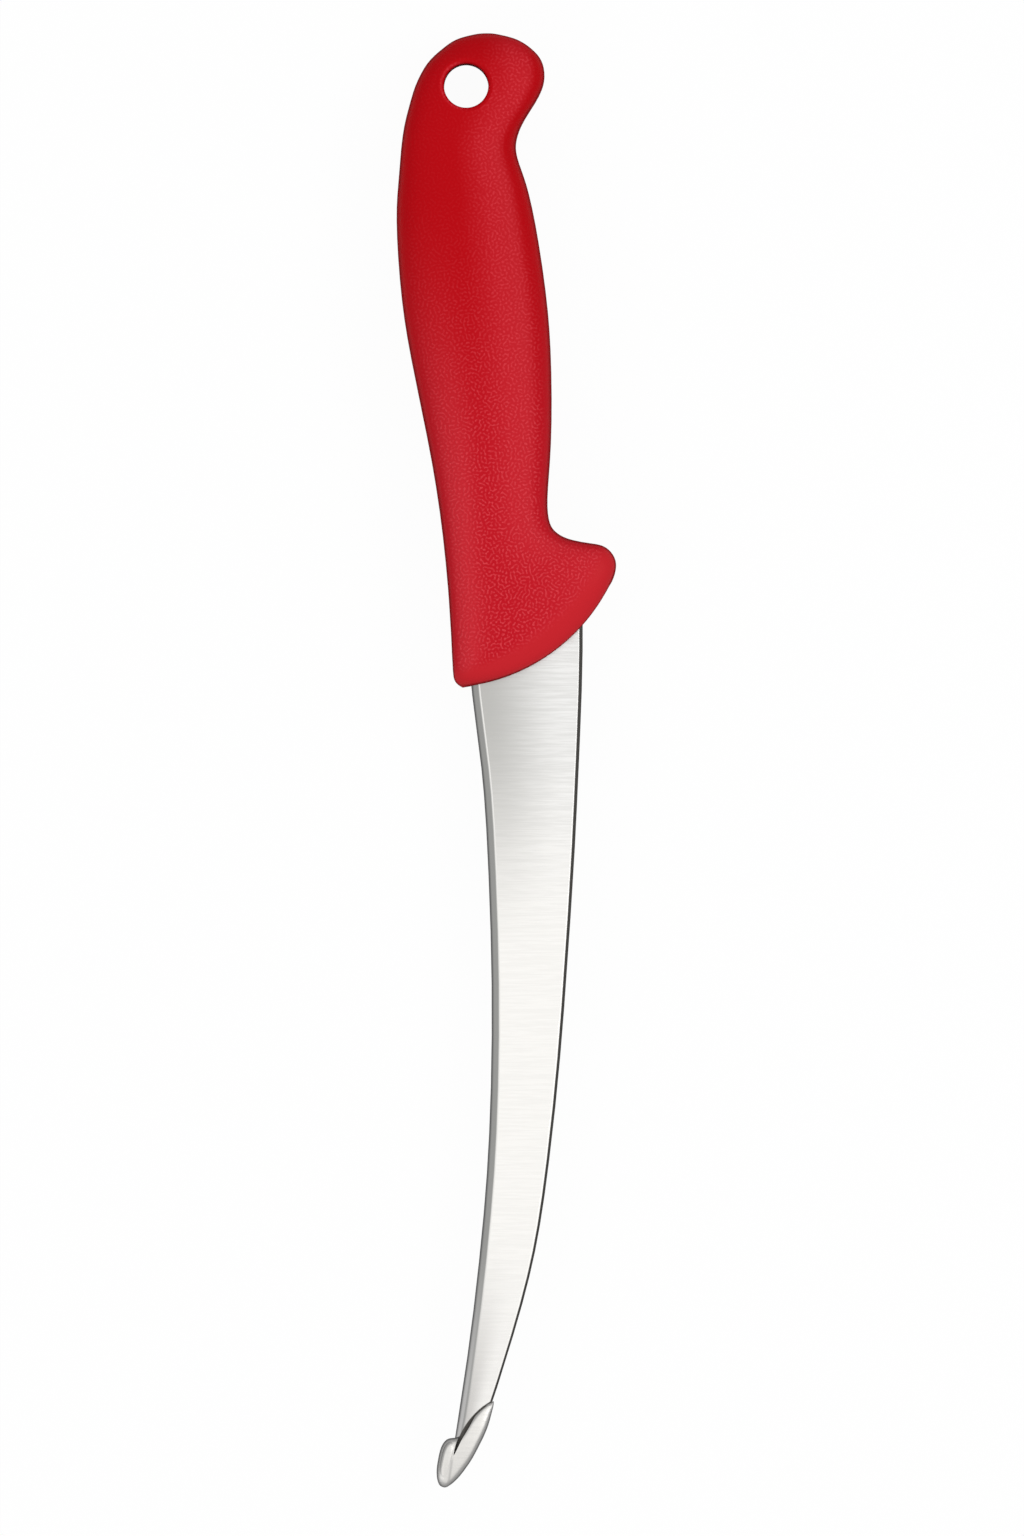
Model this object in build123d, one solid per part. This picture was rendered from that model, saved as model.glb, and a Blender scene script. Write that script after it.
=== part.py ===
from build123d import *
from math import comb
import os

# A curved fillet knife lying on its side on the plane Z = 0. The butt points to +Y, the edge faces +X.
# The origin is on that plane, under the middle of the knife. All sizes are millimetres.
# Every piece is symmetric about the knife's mid-plane, so it is made there and lifted at the end.

# Handle sizes
handle_length = 142.0
handle_width = 47.6
handle_thickness = 21.0
skin_thickness = 2.8
hang_hole_radius = 4.8
hang_hole_rounding = 0.9

# Blade sizes
blade_reach = 173.0
heel_width = 23.9
heel_thickness = 2.0
point_thickness = 1.1
spine_band_width = 1.9
spine_band_depth = 0.3
shoulder_thickness = 0.5
honed_width = 0.9
edge_thickness = 0.08

# Tang sizes
tang_length = 80.0
tang_root_width = 13.0
tang_end_width = 10.0
tang_overlap = 6.0
tang_corner_radius = 3.0
lock_hole_radius = 2.7

# Tip guard size
tip_guard_thickness = 3.8

# Places worked out from the sizes
overall_length = handle_length + blade_reach
front_y = overall_length / 2 - handle_length
back_x = -handle_width / 2
mid_height = handle_thickness / 2

# Handle stations from the curved front to the butt. Each row holds the back end and the finger end as shares
# of the handle's width and length, how far the station bows forward as a share of its span, its thickness as
# a share of the handle's, and how square its section is.
handle_station_shares = [
    (0.302, 0.002, 0.959, 0.153, 0.123, 0.00, 0.88),
    (0.286, 0.005, 0.979, 0.163, 0.133, 0.38, 0.88),
    (0.272, 0.009, 0.991, 0.173, 0.132, 0.54, 0.88),
    (0.261, 0.016, 0.999, 0.187, 0.118, 0.66, 0.88),
    (0.256, 0.029, 0.991, 0.201, 0.108, 0.75, 0.88),
    (0.253, 0.047, 0.960, 0.214, 0.090, 0.80, 0.88),
    (0.250, 0.067, 0.910, 0.221, 0.070, 0.82, 0.88),
    (0.245, 0.098, 0.834, 0.225, 0.050, 0.83, 0.88),
    (0.239, 0.130, 0.775, 0.230, 0.030, 0.83, 0.85),
    (0.230, 0.169, 0.727, 0.239, 0.012, 0.84, 0.85),
    (0.219, 0.207, 0.698, 0.253, 0.000, 0.85, 0.82),
    (0.205, 0.248, 0.687, 0.277, 0.000, 0.87, 0.79),
    (0.186, 0.294, 0.689, 0.306, 0.000, 0.89, 0.76),
    (0.152, 0.361, 0.701, 0.364, 0.000, 0.94, 0.73),
    (0.086, 0.471, 0.705, 0.471, 0.000, 1.00, 0.70),
    (0.036, 0.563, 0.692, 0.563, 0.000, 1.00, 0.70),
    (0.008, 0.654, 0.659, 0.654, 0.000, 0.97, 0.70),
    (0.001, 0.738, 0.614, 0.738, 0.000, 0.92, 0.73),
    (0.011, 0.784, 0.576, 0.784, 0.000, 0.89, 0.76),
    (0.022, 0.828, 0.543, 0.828, 0.000, 0.87, 0.79),
    (0.041, 0.868, 0.583, 0.868, 0.000, 0.85, 0.82),
    (0.058, 0.890, 0.624, 0.890, 0.000, 0.84, 0.82),
    (0.078, 0.913, 0.660, 0.913, 0.000, 0.82, 0.82),
    (0.101, 0.932, 0.673, 0.932, 0.000, 0.79, 0.82),
    (0.131, 0.950, 0.668, 0.950, 0.000, 0.74, 0.79),
    (0.178, 0.968, 0.640, 0.968, 0.000, 0.64, 0.76),
    (0.237, 0.984, 0.585, 0.984, 0.000, 0.48, 0.73),
    (0.298, 0.994, 0.521, 0.994, 0.000, 0.31, 0.70),
    (0.360, 0.999, 0.458, 0.999, 0.000, 0.14, 0.64),
]
butt_shares = (0.411, 1.000)
hang_hole_shares = (0.317, 0.919)

# The core fills the stations whose back ends lie between these shares of the handle's length
core_span_shares = (0.029, 0.828)

# Blade stations down from the handle's front. Each row holds a share of the blade's reach, then the places
# of the spine and the edge as shares of the heel's width.
heel_place_share = 0.341
blade_station_shares = [
    (-0.100, -0.028, 1.008),
    (0.000, 0.000, 1.000),
    (0.100, 0.090, 0.971),
    (0.200, 0.143, 0.936),
    (0.350, 0.180, 0.866),
    (0.480, 0.178, 0.791),
    (0.600, 0.142, 0.695),
    (0.700, 0.080, 0.582),
    (0.780, 0.015, 0.440),
    (0.850, -0.053, 0.288),
    (0.930, -0.141, 0.084),
    (0.985, -0.203, -0.144),
]

# The tang's root and the point it aims at, as shares of the handle's width and length, and the places of
# its lock holes as shares of its length
tang_root_shares = (0.580, 0.126)
tang_aim_shares = (0.334, 0.692)
lock_hole_shares = (0.30, 0.57, 0.84)

# Tip guard stations from upper end to nose, first for its body and then for the lobe that stands a little proud
# of it on the spine side. Each row holds the spine side and the edge side as shares of the blade's reach and of
# the heel's width, then its thickness as a share of the guard's.
tip_body_top_shares = (0.8916, 0.202)
tip_body_station_shares = [
    (0.8938, 0.163, 0.8966, 0.200, 0.33),
    (0.8972, 0.113, 0.9053, 0.185, 0.58),
    (0.9047, 0.049, 0.9191, 0.158, 0.80),
    (0.9154, -0.014, 0.9336, 0.118, 0.90),
    (0.9285, -0.074, 0.9504, 0.058, 0.92),
    (0.9367, -0.133, 0.9642, 0.004, 0.92),
    (0.9389, -0.214, 0.9755, -0.051, 0.92),
    (0.9486, -0.273, 0.9852, -0.105, 0.92),
    (0.9629, -0.301, 0.9930, -0.160, 0.88),
    (0.9780, -0.316, 0.9977, -0.205, 0.77),
    (0.9905, -0.309, 0.9997, -0.243, 0.47),
]
tip_body_nose_shares = (0.9975, -0.285)
tip_lobe_top_shares = (0.9385, -0.140)
tip_lobe_station_shares = [
    (0.9400, -0.190, 0.9425, -0.135, 0.60),
    (0.9436, -0.228, 0.9490, -0.136, 0.88),
    (0.9508, -0.260, 0.9570, -0.143, 1.00),
    (0.9635, -0.286, 0.9680, -0.162, 1.00),
    (0.9765, -0.299, 0.9785, -0.183, 0.95),
    (0.9860, -0.293, 0.9880, -0.199, 0.80),
    (0.9925, -0.278, 0.9940, -0.217, 0.52),
]
tip_lobe_nose_shares = (0.9960, -0.251)
tip_body_squareness_share = 0.80
tip_lobe_squareness_share = 0.86

# The open mouth of the tip guard, a crescent between two curves that share their ends
mouth_end_shares = ((0.8934, 0.153), (0.9598, -0.162))
mouth_spine_side_shares = [(0.9078, 0.018), (0.9284, -0.086), (0.9428, -0.136)]
mouth_edge_side_shares = [(0.9075, 0.046), (0.9246, -0.023), (0.9400, -0.089), (0.9553, -0.144)]

# How much long gaps between stations are evened out
evening_share = 0.75


def handle_point(width_share, length_share):
    return Vector(back_x + width_share * handle_width, front_y + length_share * handle_length)


def blade_point(reach_share, width_share):
    heel_x = back_x + heel_place_share * handle_width
    return Vector(heel_x + width_share * heel_width, front_y - reach_share * blade_reach)


# Places from 0 to 1 for the points that a set of rails share
def rail_places(rails):
    travelled = [0]
    for index in range(1, len(rails[0])):
        gap = sum((rail[index] - rail[index - 1]).length for rail in rails) / len(rails)
        travelled.append(travelled[-1] + gap**evening_share)
    return [distance / travelled[-1] for distance in travelled]


# A rounded arch over the mid-plane from the back end to the finger end. It passes over the crown at its
# middle, where its seven pulls have the weights below. The squarer it is, the steeper its ends.
def arch(back, crown, finger, squareness):
    weights = [comb(6, index) / 2**6 for index in range(7)]
    middle = (back + finger) / 2
    reach = (finger - back) / 2 * squareness
    bow = (Vector(crown.X, crown.Y) - middle) / weights[3]
    lift = Vector(0, 0, crown.Z / (1 - 2 * weights[0] - 2 * weights[1] * (1 - squareness)))
    return Edge.make_bezier(
        back,
        back + lift * squareness,
        middle - reach + lift,
        middle + bow + lift,
        middle + reach + lift,
        finger + lift * squareness,
        finger,
    )


# A solid with a smooth skin through a run of stations, each a back end, a crown, a finger end and a squareness.
# It closes at a point where one is given, and otherwise flat or along a station with no height.
def rounded_solid(stations, first_point=None, last_point=None):
    profiles = [arch(*station) for station in stations]
    rails = [[station[index] for station in stations] for index in range(3)]
    ends = [profile for profile, station in zip(profiles, stations) if station[1].Z]
    caps = []
    if first_point:
        profiles.insert(0, first_point)
        rails = [[first_point] + rail for rail in rails]
    elif stations[0][1].Z:
        caps.append(ends[0])
    if last_point:
        profiles.append(last_point)
        rails = [rail + [last_point] for rail in rails]
    else:
        caps.append(ends[-1])
    places = rail_places(rails)
    guides = [Edge.make_spline(rail, parameters=places) for rail in rails]
    upper = Face.make_gordon_surface(profiles, guides)
    faces = [upper, upper.mirror(Plane.XY)]
    faces += [Face(Wire([cap, cap.mirror(Plane.XY)])) for cap in caps]
    return Solid(Shell(faces))


# One handle station, drawn in by an inset all round, with its bow kept or left out
def handle_station(row, inset, bowed):
    back_width, back_length, finger_width, finger_length, bow_share, thickness_share, squareness = row
    back = handle_point(back_width, back_length)
    finger = handle_point(finger_width, finger_length)
    span = finger - back
    along = span.normalized()
    forward = Vector(along.Y, -along.X)
    rise = Vector(0, 0, thickness_share * handle_thickness / 2 - inset)
    crown = (back + finger) / 2 + forward * bow_share * span.length * bowed + rise
    return back + along * inset, crown, finger - along * inset, squareness


def handle_form():
    stations = [handle_station(row, 0, True) for row in handle_station_shares]
    return rounded_solid(stations, last_point=handle_point(*butt_shares))


def core_form():
    first, last = core_span_shares
    rows = [row for row in handle_station_shares if first <= row[1] <= last]
    return rounded_solid([handle_station(row, skin_thickness, False) for row in rows])


# The corners of the blade's upper half at one station: spine, spine band, honed shoulder and edge
def blade_corners(reach_share, spine_share, edge_share):
    spine = blade_point(reach_share, spine_share)
    edge = blade_point(reach_share, edge_share)
    worn_share = min(max(reach_share, 0), 1)
    stock = heel_thickness + (point_thickness - heel_thickness) * worn_share
    room_share = min(1, (edge.X - spine.X) / (2 * (spine_band_width + honed_width)))
    return [
        spine + Vector(0, 0, stock / 2 - spine_band_depth),
        spine + Vector(spine_band_width * room_share, 0, stock / 2),
        edge + Vector(-honed_width * room_share, 0, shoulder_thickness / 2),
        edge + Vector(0, 0, edge_thickness / 2),
    ]


# The ground blade: straight-ruled faces between the lines of its spine, band, shoulder and edge
def ground_blade():
    stations = [blade_corners(*row) for row in blade_station_shares]
    rails = list(zip(*stations))
    places = rail_places(rails)
    upper = [Edge.make_spline(rail, parameters=places) for rail in rails]
    lower = [line.mirror(Plane.XY) for line in reversed(upper)]
    lines = upper + lower
    faces = [Face.make_surface_from_curves(*pair) for pair in zip(lines, lines[1:] + lines[:1])]
    for corners in (stations[0], stations[-1]):
        below = [Vector(corner.X, corner.Y, -corner.Z) for corner in reversed(corners)]
        faces.append(Face(Wire.make_polygon(corners + below)))
    return Solid(Shell(faces))


# The flat tang with its lock holes, reaching a little into the blade
def tang():
    root = handle_point(*tang_root_shares)
    along = (handle_point(*tang_aim_shares) - root).normalized()
    side = Vector(along.Y, -along.X)
    start = root - along * tang_overlap
    end = root + along * tang_length
    corners = [
        start - side * tang_root_width / 2,
        start + side * tang_root_width / 2,
        end + side * tang_end_width / 2,
        end - side * tang_end_width / 2,
    ]
    plate = make_face(Polyline(*corners, close=True))
    plate = fillet(plate.vertices().sort_by(Axis.Y)[-2:], tang_corner_radius)
    for share in lock_hole_shares:
        plate -= Location(root + along * tang_length * share) * Circle(lock_hole_radius)
    return extrude(plate, amount=heel_thickness / 2, both=True)


# One rounded part of the tip guard through its stations, closed at a top point and a nose point
def tip_solid(top_shares, station_shares, nose_shares, squareness_share):
    stations = []
    for spine_reach, spine_width, edge_reach, edge_width, thickness_share in station_shares:
        back = blade_point(spine_reach, spine_width)
        finger = blade_point(edge_reach, edge_width)
        rise = Vector(0, 0, thickness_share * tip_guard_thickness / 2)
        stations.append((back, (back + finger) / 2 + rise, finger, squareness_share))
    return rounded_solid(stations, blade_point(*top_shares), blade_point(*nose_shares))


# The crescent that is open from the guard's outside down to the blade
def tip_mouth():
    top, notch = (blade_point(*shares) for shares in mouth_end_shares)
    spine_side = [blade_point(*shares) for shares in mouth_spine_side_shares]
    edge_side = [blade_point(*shares) for shares in mouth_edge_side_shares]
    outline = Spline(top, *spine_side, notch) + Spline(top, *edge_side, notch)
    return extrude(make_face(outline), amount=tip_guard_thickness, both=True)


# The blunt nose that wraps the blade's point
def tip_guard_form():
    body = tip_solid(
        tip_body_top_shares, tip_body_station_shares, tip_body_nose_shares, tip_body_squareness_share
    )
    lobe = tip_solid(
        tip_lobe_top_shares, tip_lobe_station_shares, tip_lobe_nose_shares, tip_lobe_squareness_share
    )
    return body + lobe - tip_mouth()


# The handle's skin with its hang hole, before the core and the blade are taken out of it
def grip_form():
    hole = Location(handle_point(*hang_hole_shares)) * Cylinder(hang_hole_radius, 2 * handle_thickness)
    body = handle_form() - hole
    rims = body.faces().filter_by(GeomType.CYLINDER).edges().filter_by(GeomType.BSPLINE)
    return fillet(rims, hang_hole_rounding)


blade = ground_blade() + tang()
core = core_form()
pieces = {
    "blade": blade,
    "tip_guard": tip_guard_form() - blade,
    "handle_core": core - blade,
    "handle_grip": grip_form() - core - blade,
}
os.makedirs("parts", exist_ok=True)
for name, piece in pieces.items():
    export_step(Pos(0, 0, mid_height) * piece, f"parts/{name}.step")
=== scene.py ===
import bpy
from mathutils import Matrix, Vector


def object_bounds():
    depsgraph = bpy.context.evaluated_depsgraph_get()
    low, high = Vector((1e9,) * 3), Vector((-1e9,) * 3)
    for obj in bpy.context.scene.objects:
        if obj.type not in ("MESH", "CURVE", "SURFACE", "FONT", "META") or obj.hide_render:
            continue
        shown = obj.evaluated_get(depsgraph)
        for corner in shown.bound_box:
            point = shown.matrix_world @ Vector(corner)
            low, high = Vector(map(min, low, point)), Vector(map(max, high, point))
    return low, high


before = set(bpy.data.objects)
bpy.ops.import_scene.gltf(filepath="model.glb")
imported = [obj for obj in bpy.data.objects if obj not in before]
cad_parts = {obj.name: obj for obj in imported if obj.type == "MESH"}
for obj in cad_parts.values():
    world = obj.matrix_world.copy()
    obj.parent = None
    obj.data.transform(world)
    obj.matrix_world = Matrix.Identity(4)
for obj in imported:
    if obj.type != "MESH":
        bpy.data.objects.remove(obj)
cadBox = [list(corner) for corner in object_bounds()]
print("packed knife loaded")


class Wire:  # an output socket that Python's operators work on
    def __init__(self, finish, socket):
        self.finish = finish
        self.socket = socket

    def math(self, operation, *values):
        return self.finish.node("ShaderNodeMath", {"operation": operation}, dict(enumerate(values)))

    def __add__(self, other):
        return self.math("ADD", self, other)

    def __sub__(self, other):
        return self.math("SUBTRACT", self, other)

    def __rsub__(self, other):
        return self.math("SUBTRACT", other, self)

    def __mul__(self, other):
        return self.math("MULTIPLY", self, other)

    def __truediv__(self, other):
        return self.math("DIVIDE", self, other)

    def __abs__(self):
        return self.math("ABSOLUTE", self)

    def larger(self, other):
        return self.math("MAXIMUM", self, other)


class Finish:  # the nodes of a material or world, all added by one method
    def __init__(self, owner):
        owner.use_nodes = True
        self.owner = owner
        self.nodes = owner.node_tree.nodes
        self.links = owner.node_tree.links

    def feed(self, socket, value):
        if isinstance(value, Wire):
            self.links.new(value.socket, socket)
        elif socket.type == "RGBA":
            socket.default_value = (*value, 1)
        else:
            socket.default_value = value

    def node(self, kind, settings={}, inputs={}, output=0):
        added = self.nodes.new(kind)
        for name, value in settings.items():
            setattr(added, name, value)
        for name, value in inputs.items():
            self.feed(added.inputs[name], value)
        return Wire(self, added.outputs[output]) if added.outputs else added

    def place(self):  # object coordinates in metres
        return self.node("ShaderNodeTexCoord", output="Object")

    def parts(self, vector):  # its x, y and z
        split = self.node("ShaderNodeSeparateXYZ", {}, {0: vector}).socket.node
        return [Wire(self, socket) for socket in split.outputs]

    def normal(self, kind="Normal"):
        return self.parts(self.node("ShaderNodeNewGeometry", output=kind))

    def scaled(self, vector, factors):
        return self.node("ShaderNodeVectorMath", {"operation": "MULTIPLY"}, {0: vector, 1: factors})

    def distance(self, vector, point):
        settings = {"operation": "DISTANCE"}
        return self.node("ShaderNodeVectorMath", settings, {0: vector, 1: point}, "Value")

    def flatDistance(self, vector, point):  # its height left out
        return self.distance(self.scaled(vector, (1, 1, 0)), point)

    def step(self, value, low, high):  # 0 at low, 1 at high, soft between
        inputs = {"Value": value, "From Min": low, "From Max": high}
        return self.node("ShaderNodeMapRange", {"interpolation_type": "SMOOTHSTEP"}, inputs)

    def noise(self, vector, scale, detail=2.0):
        inputs = {"Vector": vector, "Scale": scale, "Detail": detail}
        return self.node("ShaderNodeTexNoise", {}, inputs)

    def around(self, middle, spread, wave):  # a value that a noise moves up and down
        return (wave - 0.5) * spread + middle

    def mix(self, factor, first, second):  # two colours
        inputs = {0: factor, 6: first, 7: second}
        return self.node("ShaderNodeMix", {"data_type": "RGBA"}, inputs, 2)

    def bump(self, height, distance):
        inputs = {"Height": height, "Distance": distance, "Strength": 1.0}
        return self.node("ShaderNodeBump", {}, inputs)

    def shade(self, **inputs):
        shader = self.nodes["Principled BSDF"]
        for name, value in inputs.items():
            self.feed(shader.inputs[name.replace("_", " ")], value)


def dress(nodeName, material):
    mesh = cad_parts[nodeName].data
    mesh.materials.clear()
    mesh.materials.append(material)


# camera, straight above the knife and far off, so that the hang hole shows no wall
cameraLook = {
    "place": (0.0012, -0.0016, 5.0105),
    "lens": 541,
    "sensor": 36,
}
bpy.ops.object.select_all(action="DESELECT")
bpy.ops.object.camera_add(location=cameraLook["place"], rotation=(0, 0, 0))
camera = bpy.context.object
camera.data.lens = cameraLook["lens"]
camera.data.sensor_width = cameraLook["sensor"]
bpy.context.scene.camera = camera
bpy.context.scene.view_settings.view_transform = "Standard"
print("camera placed")


def circleThrough(first, second, third):  # centre and radius, in the plane of the blade
    (ax, ay), (bx, by), (cx, cy) = first, second, third
    spread = 2 * (ax * (by - cy) + bx * (cy - ay) + cx * (ay - by))
    a, b, c = ax * ax + ay * ay, bx * bx + by * by, cx * cx + cy * cy
    x = (a * (by - cy) + b * (cy - ay) + c * (ay - by)) / spread
    y = (a * (cx - bx) + b * (ax - cx) + c * (bx - ax)) / spread
    return (x, y, 0), ((ax - x)**2 + (ay - y)**2)**0.5


# the painted shadow of the guard's mouth begins on the blade along the circle through these places
mouthPlaces = [(-0.00391, -0.13906), (-0.00865, -0.14360), (-0.01144, -0.15055)]
mouthCentre, mouthRadius = circleThrough(*mouthPlaces)

# blade; a pair of numbers is where a mask is 0 and where it is 1, in metres or as a part of a normal
bladeLook = {
    "heelShade": (0.50, 0.495, 0.475),  # painted shade beside the handle, on the spine's side
    "heelLight": (0.86, 0.855, 0.84),  # painted reflection beside the handle, on the edge's side
    "pale": (0.930, 0.915, 0.885),  # middle of the ground face
    "tipShade": (0.60, 0.585, 0.565),  # painted shade near the tip, on the spine's side
    "tipLight": (0.87, 0.855, 0.83),  # painted reflection near the tip, on the edge's side
    "line": (0.48, 0.475, 0.455),  # grind lines
    "spineDarkReflection": (0.10, 0.10, 0.10),  # painted dark reflection on the outermost part of the spine band
    "spineGreyReflection": (0.30, 0.30, 0.29),  # painted reflection: its middle near the handle, and a line along it near the tip
    "spinePaleReflection": (0.46, 0.455, 0.45),  # painted reflection: its middle near the tip
    "honed": (0.045, 0.043, 0.040),  # sharpened edge, darkened as a painted reflection
    "mouth": (0.060, 0.055, 0.048),  # painted shadow on the steel in the guard's mouth
    "mouthMetal": 0.7,  # how much of the metal look it loses
    "mouthRoughness": 0.3,  # how much rougher it is
    "roughness": 0.30,
    "roughnessSpread": 0.16,
    "fineGrind": (190, 4200, 190),  # lines per metre along x, y and z
    "broadGrind": (70, 1500, 70),
    "grindDepth": 0.000012,
    "lineMask": (0.38, 0.62),
    "lineShareAtHeel": 0.30,
    "lineShareLost": 0.18,  # beyond the heel
    "midHeight": 0.0105,
    "halfStock": 0.00096,  # half the thickness beside the spine band, at y = 0
    "stockTaper": 0.0026,  # its growth with y
    "bandDepth": 0.0003,
    "shoulderHeight": 0.00025,
    "bandFacing": (0.06, 0.10),
    "honedFacing": (0.10, 0.14),
    "honedHeight": (0.00023, 0.00019),
    "honedTaper": 0.0004,  # how much that height narrows with the distance down the blade
    "heelRange": (-0.014, 0.045),  # down the blade, where the heel's painted shading ends
    "tipRange": (0.100, 0.145),  # where the tip's begins
    "mouthRange": (0.1360, 0.1385),
    "mouthSoftness": 0.0001,
}


def groundSteel(look):
    finish = Finish(bpy.data.materials.new("groundSteel"))
    place = finish.place()
    y, z = finish.parts(place)[1:]
    normalX = finish.normal("True Normal")[0]
    down = y * -1
    halfStock = y * look["stockTaper"] + look["halfStock"]
    height = abs(z - look["midHeight"])
    drop = halfStock - height
    outward = drop / look["bandDepth"]  # 0 to 1 over the spine band
    across = drop / (halfStock - look["shoulderHeight"])  # 0 to 1 over the ground face
    spineBandReflection = finish.step(normalX * -1, *look["bandFacing"])
    # the sharpened edge's dark line is a painted reflection
    honedEdgeReflection = finish.step(height + down * look["honedTaper"], *look["honedHeight"])
    honedEdgeReflection = honedEdgeReflection * finish.step(normalX, *look["honedFacing"])
    # painted shadow in the guard's mouth
    toMouth = finish.flatDistance(place, mouthCentre)
    soft = look["mouthSoftness"]
    mouthShadowOnBlade = finish.step(toMouth, mouthRadius + soft, mouthRadius - soft)
    mouthShadowOnBlade = mouthShadowOnBlade * finish.step(down, *look["mouthRange"])
    fine = finish.noise(finish.scaled(place, look["fineGrind"]), 1.0, 3.0)
    broad = finish.noise(finish.scaled(place, look["broadGrind"]), 1.0)
    lines = fine * 0.5 + broad * 0.5
    beyondHeel = finish.step(down, *look["heelRange"])
    towardsTip = finish.step(down, *look["tipRange"])
    lineShare = look["lineShareAtHeel"] - beyondHeel * look["lineShareLost"]

    # ground face, from the heel to the tip
    # painted shade on the spine's side and painted reflection on the edge's side, at the heel and at
    # the tip
    heel = finish.mix(finish.step(across, 0.0, 0.9), look["heelShade"], look["heelLight"])
    tip = finish.mix(finish.step(across, 0.0, 0.85), look["tipShade"], look["tipLight"])
    steel = finish.mix(beyondHeel, heel, look["pale"])
    steel = finish.mix(towardsTip, steel, tip)
    steel = finish.mix(finish.step(lines, *look["lineMask"]) * lineShare, steel, look["line"])

    # spine band, a painted reflection, from its middle out to the spine and then in to the ground
    # face
    band = finish.mix(towardsTip, look["spineGreyReflection"], look["spinePaleReflection"])
    inner = finish.mix(towardsTip, look["pale"], look["tipShade"])
    band = finish.mix(finish.step(outward, 0.65, 0.95), band, look["spineDarkReflection"])
    band = finish.mix(finish.step(outward, 0.44, 0.36) * towardsTip * 0.8, band, look["spineGreyReflection"])
    band = finish.mix(finish.step(outward, 0.26, 0.06) * 0.85, band, inner)
    steel = finish.mix(spineBandReflection, steel, band)

    steel = finish.mix(honedEdgeReflection, steel, look["honed"])
    steel = finish.mix(mouthShadowOnBlade, steel, look["mouth"])
    roughness = finish.around(look["roughness"], look["roughnessSpread"], lines)
    finish.shade(
        Base_Color=steel,
        Metallic=1 - mouthShadowOnBlade * look["mouthMetal"],
        Roughness=roughness + mouthShadowOnBlade * look["mouthRoughness"],
        Normal=finish.bump(lines, look["grindDepth"]),
    )
    return finish.owner


dress("blade", groundSteel(bladeLook))
print("blade finished")

# tip guard; the masks of the mouth's painted shadow are measured from the mouth's circle
guardLook = {
    "pale": (0.80, 0.785, 0.755),  # upper end of its face
    "low": (0.68, 0.665, 0.640),  # nose
    "lowRange": (0.140, 0.156),
    # painted shade on the rims where the face turns away, and in the crease
    "innerRimAndCreaseShade": (0.40, 0.395, 0.385),
    "innerRimFacing": (0.985, 0.90),
    "outerRimShade": (0.18, 0.18, 0.177),
    "outerRimFacing": (0.80, 0.45),
    "line": (0.50, 0.49, 0.475),
    "lineMask": (0.35, 0.7),
    "lineShare": 0.16,
    # painted shadow on the mouth's walls and lip
    "mouth": (0.060, 0.055, 0.048),
    "mouthMetal": 0.6,  # how much of the metal look it loses
    "mouthInside": (-0.0019, -0.0016),
    "mouthOutside": (0.0003, 0.0001),
    "wallFacing": (0.06, 0.02),
    "lipShadow": (-0.00050, -0.00035),  # painted shadow along the rim of the mouth's upper part
    "lipAcross": (-0.0038, -0.0046),
    "lipAlong": (-0.1475, -0.1460),
    "creaseSlope": 0.148,  # the line between the body and the lobe: x = slope * y - place
    "creasePlace": -0.01062,
    "creaseWidth": 0.00050,
    "creaseStart": (-0.1505, -0.1520),
    "creaseEnd": (-0.1580, -0.1560),
    "creaseShare": 0.6,
    "roughness": 0.48,
    "roughnessSpread": 0.14,
    "speck": 700,  # cells per metre
    "lines": (90, 2600, 90),
    "grainDepth": 0.000008,
}


def satinSteel(look):
    finish = Finish(bpy.data.materials.new("satinSteel"))
    place = finish.place()
    x, y = finish.parts(place)[:2]
    facing = abs(finish.normal()[2])
    wallFacing = abs(finish.normal("True Normal")[2])

    # painted shadow on the walls and lip of the mouth
    fromMouth = finish.flatDistance(place, mouthCentre) - mouthRadius
    besideMouth = finish.step(fromMouth, *look["mouthInside"])
    besideMouth = besideMouth * finish.step(fromMouth, *look["mouthOutside"])
    mouthWallShadow = finish.step(wallFacing, *look["wallFacing"]) * besideMouth
    lipShadow = finish.step(fromMouth, *look["lipShadow"]) * besideMouth
    lipShadow = lipShadow * finish.step(x, *look["lipAcross"]) * finish.step(y, *look["lipAlong"])
    mouthWallShadow = mouthWallShadow.larger(lipShadow)

    # face, with painted shade on the rims and in the crease beside the lobe
    speck = finish.noise(place, look["speck"], 3.0)
    lines = finish.noise(finish.scaled(place, look["lines"]), 1.0)
    lineShare = finish.step(lines, *look["lineMask"]) * look["lineShare"]
    # painted shade along the crease between the body and the lobe
    besideCrease = abs(x - y * look["creaseSlope"] + look["creasePlace"])
    crease = finish.step(besideCrease, look["creaseWidth"], 0.0)
    crease = crease * finish.step(y, *look["creaseStart"]) * finish.step(y, *look["creaseEnd"])
    steel = finish.mix(finish.step(y * -1, *look["lowRange"]), look["pale"], look["low"])
    steel = finish.mix(lineShare, steel, look["line"])
    steel = finish.mix(finish.step(facing, *look["innerRimFacing"]), steel, look["innerRimAndCreaseShade"])
    steel = finish.mix(finish.step(facing, *look["outerRimFacing"]), steel, look["outerRimShade"])
    steel = finish.mix(crease * look["creaseShare"], steel, look["innerRimAndCreaseShade"])
    steel = finish.mix(mouthWallShadow, steel, look["mouth"])
    finish.shade(
        Base_Color=steel,
        Metallic=1 - mouthWallShadow * look["mouthMetal"],
        Roughness=finish.around(look["roughness"], look["roughnessSpread"], speck),
        Normal=finish.bump(speck + lines, look["grainDepth"]),
    )
    return finish.owner


dress("tip_guard", satinSteel(guardLook))
print("tip guard finished")

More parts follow.
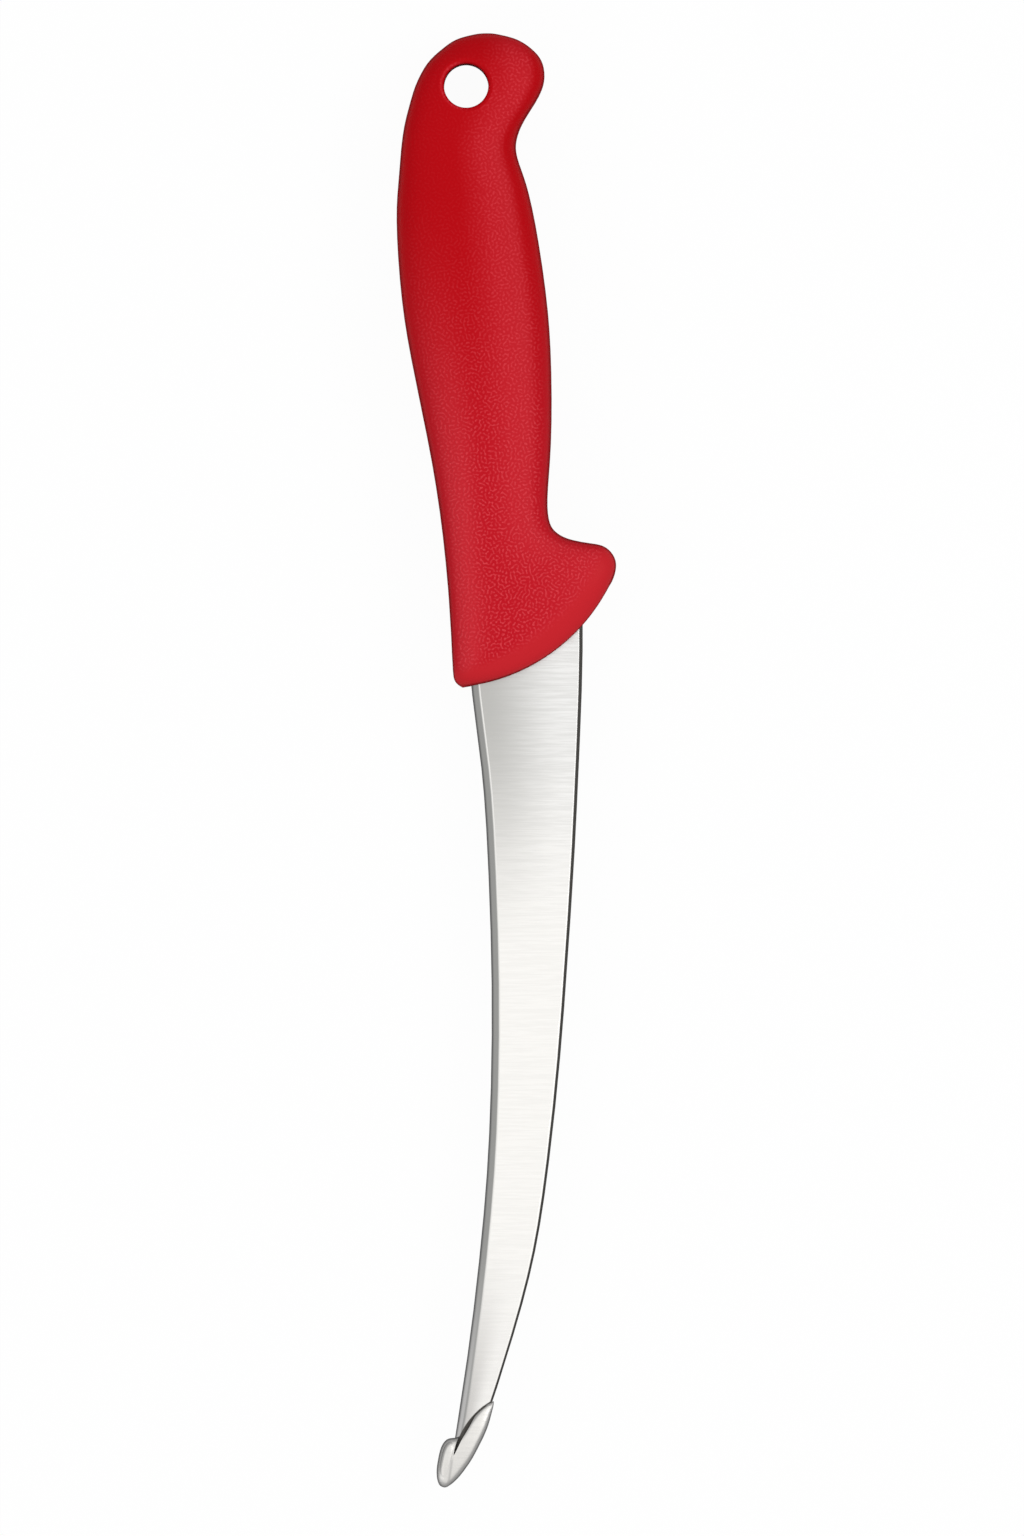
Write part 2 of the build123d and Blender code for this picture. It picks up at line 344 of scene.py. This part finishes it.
# handle
gripLook = {
    "red": (0.450, 0.0065, 0.0140),
    "shadedRed": (0.405, 0.0012, 0.0040),  # painted shade towards the butt, away from the finger side, and along the parting line
    "deepShare": 0.95,
    "deepShareLost": 0.5,  # on the finger side
    "bandSheenRed": (0.490, 0.0150, 0.0220),  # smooth rim along the curved front, paler as a painted sheen
    "crestAndSheenRed": (0.60, 0.040, 0.053),  # crests of the grain, paler partly as grain and partly as painted highlight, and the painted sheen
    "crestShare": 0.84,
    "crestShareLost": 0.79,  # towards the butt
    "crestShareKept": 0.43,  # how much of that the finger side keeps
    # painted sheen on the sides facing the lamps
    "sheenShare": 0.22,
    "sheenShareLost": 0.08,  # towards the butt
    "rimShadeRed": (0.20, 0.0010, 0.0030),  # painted shade where the side falls away
    "rimFacing": (0.45, 0.10),
    "rimRoughness": 0.4,  # how much rougher it is
    "roughness": 0.42,
    "roughnessSpread": 0.10,
    "crestRoughness": 0.05,
    "gloss": 0.03,
    "grainSize": 660,  # cells per metre
    "grainWaves": 1.8,  # crests per cell
    "crestMask": (0.49, 0.62),
    "bitSize": 1500,  # cells per metre of the noise that breaks the crests up
    "bitMask": (0.36, 0.62),
    "bitLeast": 0.5,  # how much of a crest stays everywhere
    "bitGain": 0.6,  # how much the noise adds
    "cloudSize": 45,
    "grainDepth": 0.00006,
    "grainDepthLost": 0.7,  # towards the butt
    "grainFacing": (0.50, 0.85),
    "bandCentre": (-0.01852, 0.06108, 0),  # centre of the curved front
    "bandStart": 0.0422,  # radius where the grain gives way to the smooth rim
    "bandSoftness": 0.0014,
    "bandEnd": (0.066, 0.058),
    "buttRange": (0.050, 0.125),
    "fingerFacing": (-0.05, 0.22),
    "fingerTurned": (0.66, 0.36),
    "backFacing": (0.05, 0.30),
    "backPaintedSheen": 1.6,  # painted sheen on the back side, fades out towards the butt
    "midHeight": 0.0105,
    # parting line: a moulded groove, darkened with painted shade
    "partingHeight": (0.00016, 0.00006),
    "partingShare": 0.5,
}


def grainedPlastic(look):
    finish = Finish(bpy.data.materials.new("grainedPlastic"))
    place = finish.place()
    y, z = finish.parts(place)[1:]
    normalX, normalY, normalZ = finish.normal()
    facing = abs(normalZ)
    fromCentre = finish.flatDistance(place, look["bandCentre"])
    bandStart, soft = look["bandStart"], look["bandSoftness"]
    smoothRim = finish.step(fromCentre, bandStart - soft, bandStart + soft)
    smoothRim = smoothRim * finish.step(y, *look["bandEnd"])
    grained = finish.step(facing, *look["grainFacing"]) * (1 - smoothRim)
    towardsButt = finish.step(y, *look["buttRange"])

    # grain: short winding crests, broken up by a finer noise
    swirl = finish.node("ShaderNodeTexGabor", {"gabor_type": "2D"}, {
        "Vector": place,
        "Scale": look["grainSize"],
        "Frequency": look["grainWaves"],
        "Anisotropy": 0.0,
    })
    bits = finish.step(finish.noise(place, look["bitSize"], 1.0), *look["bitMask"])
    crests = finish.step(swirl, *look["crestMask"]) * grained
    crests = crests * (bits * look["bitGain"] + look["bitLeast"])

    # sides facing the lamps, where a sheen is painted, the parting line, and the rim where shade is
    # painted
    fingerSide = finish.step(normalX, *look["fingerFacing"])
    fingerSide = fingerSide * finish.step(normalX, *look["fingerTurned"])
    backSide = finish.step(normalX * -1, *look["backFacing"]) * (1 - towardsButt) * look["backPaintedSheen"]
    paintedSheen = fingerSide.larger(backSide) * grained
    partingGrooveAndShade = finish.step(abs(z - look["midHeight"]), *look["partingHeight"])
    rim = finish.step(facing, *look["rimFacing"])

    # painted shade towards the butt and on the rims, painted sheen on the sides facing the lamps
    deepShare = towardsButt * (look["deepShare"] - fingerSide * look["deepShareLost"])
    sheenShare = paintedSheen * (look["sheenShare"] - towardsButt * look["sheenShareLost"])
    crestLoss = towardsButt * (look["crestShareLost"] - fingerSide * look["crestShareKept"])
    red = finish.mix(deepShare, look["red"], look["shadedRed"])
    red = finish.mix(smoothRim, red, look["bandSheenRed"])
    red = finish.mix(sheenShare, red, look["crestAndSheenRed"])
    red = finish.mix(crests * (look["crestShare"] - crestLoss), red, look["crestAndSheenRed"])
    red = finish.mix(rim, red, look["rimShadeRed"])
    red = finish.mix(partingGrooveAndShade * look["partingShare"], red, look["shadedRed"])
    cloud = finish.noise(place, look["cloudSize"])
    roughness = finish.around(look["roughness"], look["roughnessSpread"], cloud)
    relief = crests * (1 - towardsButt * look["grainDepthLost"])
    finish.shade(
        Base_Color=red,
        Roughness=roughness + crests * look["crestRoughness"] + rim * look["rimRoughness"],
        Specular_IOR_Level=look["gloss"],
        Normal=finish.bump(relief - partingGrooveAndShade * look["partingShare"], look["grainDepth"]),
    )
    return finish.owner


dress("handle_grip", grainedPlastic(gripLook))

coreLook = {
    "red": (0.30, 0.03, 0.04),
    "shade": (0.24, 0.02, 0.03),
    "shadeShare": 0.4,
    "cloudSize": 160,
    "roughness": 0.6,
    "roughnessSpread": 0.1,
    "cloudDepth": 0.00002,
}


def mouldedCore(look):
    finish = Finish(bpy.data.materials.new("mouldedCore"))
    cloud = finish.noise(finish.place(), look["cloudSize"], 3.0)
    finish.shade(
        Base_Color=finish.mix(cloud * look["shadeShare"], look["red"], look["shade"]),
        Roughness=finish.around(look["roughness"], look["roughnessSpread"], cloud),
        Normal=finish.bump(cloud, look["cloudDepth"]),
    )
    return finish.owner


dress("handle_core", mouldedCore(coreLook))
print("handle finished")

# floor, room and lamps
studioLook = {
    "floorSize": 20.0,
    "floorColour": (0.45, 0.45, 0.45),
    "floorShown": 0.93,  # how far the camera sees it plain white
    "floorMirrored": 0.25,  # how far reflections do
    "floorWhite": 1.03,
    "horizon": 0.42,  # the room's light at the horizon
    "overhead": 1.02,  # and above
    "horizonRange": (-0.1, 0.8),
    "lamps": {  # place, size in metres, watts
        "rightSoftbox": ((0.90, 0.25, 0.90), 0.5, 4.4),
        "leftSoftbox": ((-0.85, -0.60, 0.75), 0.5, 2.4),
    },
}
bpy.ops.mesh.primitive_plane_add(size=studioLook["floorSize"], location=(0, 0, cadBox[0][2]))
floor = bpy.context.object
floor.name = "studioFloor"


def paleFloor(look):
    finish = Finish(bpy.data.materials.new("paleFloor"))
    finish.nodes.clear()
    seen, mirrored, through = [finish.node("ShaderNodeLightPath", output=ray)
                               for ray in ("Is Camera Ray", "Is Glossy Ray", "Is Transmission Ray")]
    shown = (seen * look["floorShown"]).larger((mirrored + through) * look["floorMirrored"])
    white = {"Color": (1, 1, 1), "Strength": look["floorWhite"]}
    surface = finish.node("ShaderNodeMixShader", {}, {
        0: shown,
        1: finish.node("ShaderNodeBsdfDiffuse", {}, {"Color": look["floorColour"]}),
        2: finish.node("ShaderNodeEmission", {}, white),
    })
    finish.node("ShaderNodeOutputMaterial", {}, {"Surface": surface})
    return finish.owner


floor.data.materials.append(paleFloor(studioLook))


def softRoom(look):  # white to the camera, and for light a room that is brighter overhead
    world = bpy.data.worlds.new("softRoom")
    bpy.context.scene.world = world
    finish = Finish(world)
    finish.nodes.clear()
    z = finish.parts(finish.node("ShaderNodeTexCoord", output="Generated"))[2]
    upward = finish.step(z, *look["horizonRange"])
    light = upward * (look["overhead"] - look["horizon"]) + look["horizon"]
    shown = finish.node("ShaderNodeLightPath", output="Is Camera Ray")
    background = {"Color": (1, 1, 1), "Strength": shown + light * (1 - shown)}
    surface = finish.node("ShaderNodeBackground", {}, background)
    finish.node("ShaderNodeOutputWorld", {}, {"Surface": surface})


softRoom(studioLook)
for name, (place, size, watts) in studioLook["lamps"].items():
    towardsKnife = Vector(place).to_track_quat("Z", "Y").to_euler()
    bpy.ops.object.light_add(type="AREA", location=place, rotation=towardsKnife)
    lamp = bpy.context.object
    lamp.name = name
    lamp.data.size = size
    lamp.data.energy = watts
    lamp.visible_camera = False
print("studio lit")
